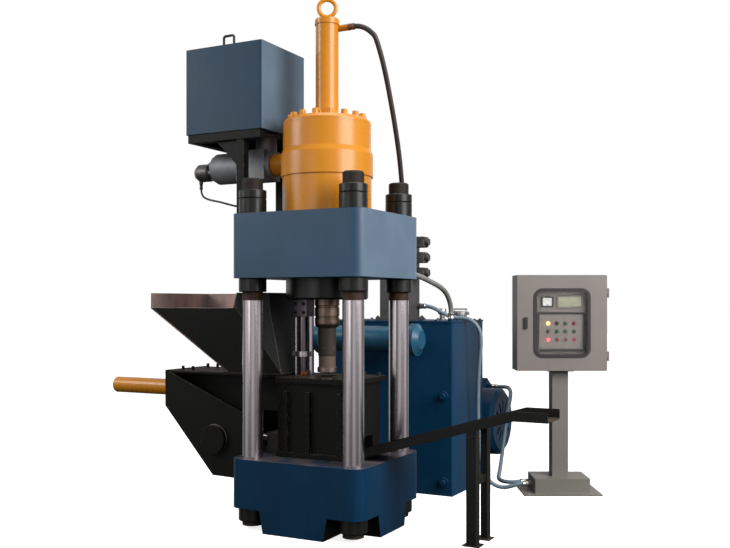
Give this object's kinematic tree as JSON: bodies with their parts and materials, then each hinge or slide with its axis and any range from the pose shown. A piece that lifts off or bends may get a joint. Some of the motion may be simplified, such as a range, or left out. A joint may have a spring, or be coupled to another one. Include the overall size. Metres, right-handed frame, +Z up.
{
  "type": "iron briquetting machine",
  "caption": "Four-column hydraulic press that squeezes iron chips into round briquettes, with hopper, feeder, chute, oil unit and a control cabinet on a post.",
  "frame": {"origin": "on the floor, under the press axis, at the middle of the base block's underside", "axes": "+Z up along the press axis, +X towards the discharge chute, +Y towards the oil unit"},
  "size_m": [3.497, 2.98, 3.642],
  "materials": {
    "base_blue": "semi-gloss deep blue enamel with scuffs",
    "beam_blue": "semi-gloss grey-blue enamel",
    "unit_blue": "semi-gloss blue enamel",
    "cylinder_yellow": "gloss orange-yellow enamel",
    "column_steel": "ground and polished",
    "nut_black": "satin black",
    "post_steel": "dark, polished",
    "holder_steel": "turned, slightly stained",
    "tool_steel": "dark tool steel",
    "frame_black": "satin black, dusty",
    "hopper_sheet": "satin black sheet, brown inside",
    "chute_sheet": "satin black sheet",
    "valve_cast": "dark grey casting",
    "pilot_grey": "grey casting",
    "filler_steel": "bright plated",
    "fan_black": "matte",
    "cabinet_grey": "fine textured powder coat",
    "stand_grey": "fine textured powder coat",
    "gasket_rubber": "matte black rubber",
    "window_clear": "clear",
    "latch_black": "matte",
    "panel_white": "smooth light grey",
    "lamp_lens": "moulded lens",
    "button_red": "moulded",
    "button_green": "moulded",
    "hose_rubber": "ribbed black rubber",
    "hose_grey": "matte grey",
    "cable_black": "matte",
    "conduit_grey": "corrugated blue-grey"
  },
  "bodies": {
    "machine": {"base_block": "base_blue", "upper_beam": "beam_blue", "prefill_tank": "beam_blue", "oil_tank": "unit_blue", "oil_cooler": "unit_blue", "motor_body": "unit_blue", "fan_cover": "unit_blue", "oil_pump": "unit_blue", "main_cylinder": "cylinder_yellow", "cylinder_cover": "cylinder_yellow", "quick_cylinder": "cylinder_yellow", "lifting_eye": "cylinder_yellow", "feed_cylinder": "cylinder_yellow", "columns": "column_steel", "lube_pipe": "column_steel", "column_nuts": "nut_black", "cylinder_nut": "nut_black", "hold_down_post": "post_steel", "die_sleeve": "holder_steel", "wear_plate": "tool_steel", "die_block": "frame_black", "table_plate": "frame_black", "feed_bracket": "frame_black", "feed_trough": "frame_black", "shift_cylinder": "frame_black", "tank_frame": "frame_black", "deck_plate": "frame_black", "hopper": "hopper_sheet", "discharge_chute": "chute_sheet", "chute_legs": "chute_sheet", "prefill_valve": "valve_cast", "valve_manifold": "valve_cast", "solenoid_valves": "valve_cast", "pilot_head": "pilot_grey", "filler_cap": "filler_steel", "cabinet_shell": "cabinet_grey", "cabinet_stand": "stand_grey", "control_panel": "panel_white", "pilot_lamps": "lamp_lens", "quick_hose": "hose_rubber", "return_hose": "hose_grey", "pilot_cable": "cable_black", "tank_conduit": "conduit_grey", "motor_conduit": "conduit_grey"},
    "ram": {"ram": "column_steel", "punch_holder": "holder_steel", "punch": "tool_steel"},
    "feeder": {"feed_pusher": "tool_steel", "feed_rod": "column_steel"},
    "slide": {"anvil_slide": "tool_steel", "shift_rod": "column_steel"},
    "door": {"cabinet_door": "cabinet_grey", "window_gasket": "gasket_rubber", "window_glass": "window_clear"},
    "latch": {"door_latch": "latch_black"},
    "fan": {"motor_fan": "fan_black"},
    "button_1": {"push_button_1": "button_red"},
    "button_2": {"push_button_2": "button_green"},
    "button_3": {"push_button_3": "button_green"},
    "button_4": {"push_button_4": "button_red"}
  },
  "joints": [
    {"name": "ram_travel", "type": "slide", "parent": "machine", "child": "ram", "axis": [0, 0, 1], "range_m": [-0.33, 0]},
    {"name": "feed_push", "type": "slide", "parent": "machine", "child": "feeder", "axis": [1, 0, 0], "range_m": [0, 0.55]},
    {"name": "anvil_shift", "type": "slide", "parent": "machine", "child": "slide", "axis": [1, 0, 0], "range_m": [0, 0.16]},
    {"name": "cabinet_door_hinge", "type": "hinge", "parent": "machine", "child": "door", "pos_m": [1.51788, 1.85911, 1.367], "axis": [0, 0, 1], "range_deg": [0, 115]},
    {"name": "latch_turn", "type": "hinge", "parent": "door", "child": "latch", "pos_m": [0.93661, 1.54834, 1.367], "axis": [-0.454, 0.891, 0], "range_deg": [0, 90]},
    {"name": "motor_spin", "type": "hinge", "parent": "machine", "child": "fan", "pos_m": [0.4, 2.23, 0.48], "axis": [1, 0, 0], "continuous": true},
    {"name": "button_1_press", "type": "slide", "parent": "machine", "child": "button_1", "axis": [-0.454, 0.891, 0], "range_m": [0, 0.004], "stiffness_N_per_m": 800},
    {"name": "button_2_press", "type": "slide", "parent": "machine", "child": "button_2", "axis": [-0.454, 0.891, 0], "range_m": [0, 0.004], "stiffness_N_per_m": 800},
    {"name": "button_3_press", "type": "slide", "parent": "machine", "child": "button_3", "axis": [-0.454, 0.891, 0], "range_m": [0, 0.004], "stiffness_N_per_m": 800},
    {"name": "button_4_press", "type": "slide", "parent": "machine", "child": "button_4", "axis": [-0.454, 0.891, 0], "range_m": [0, 0.004], "stiffness_N_per_m": 800}
  ]
}
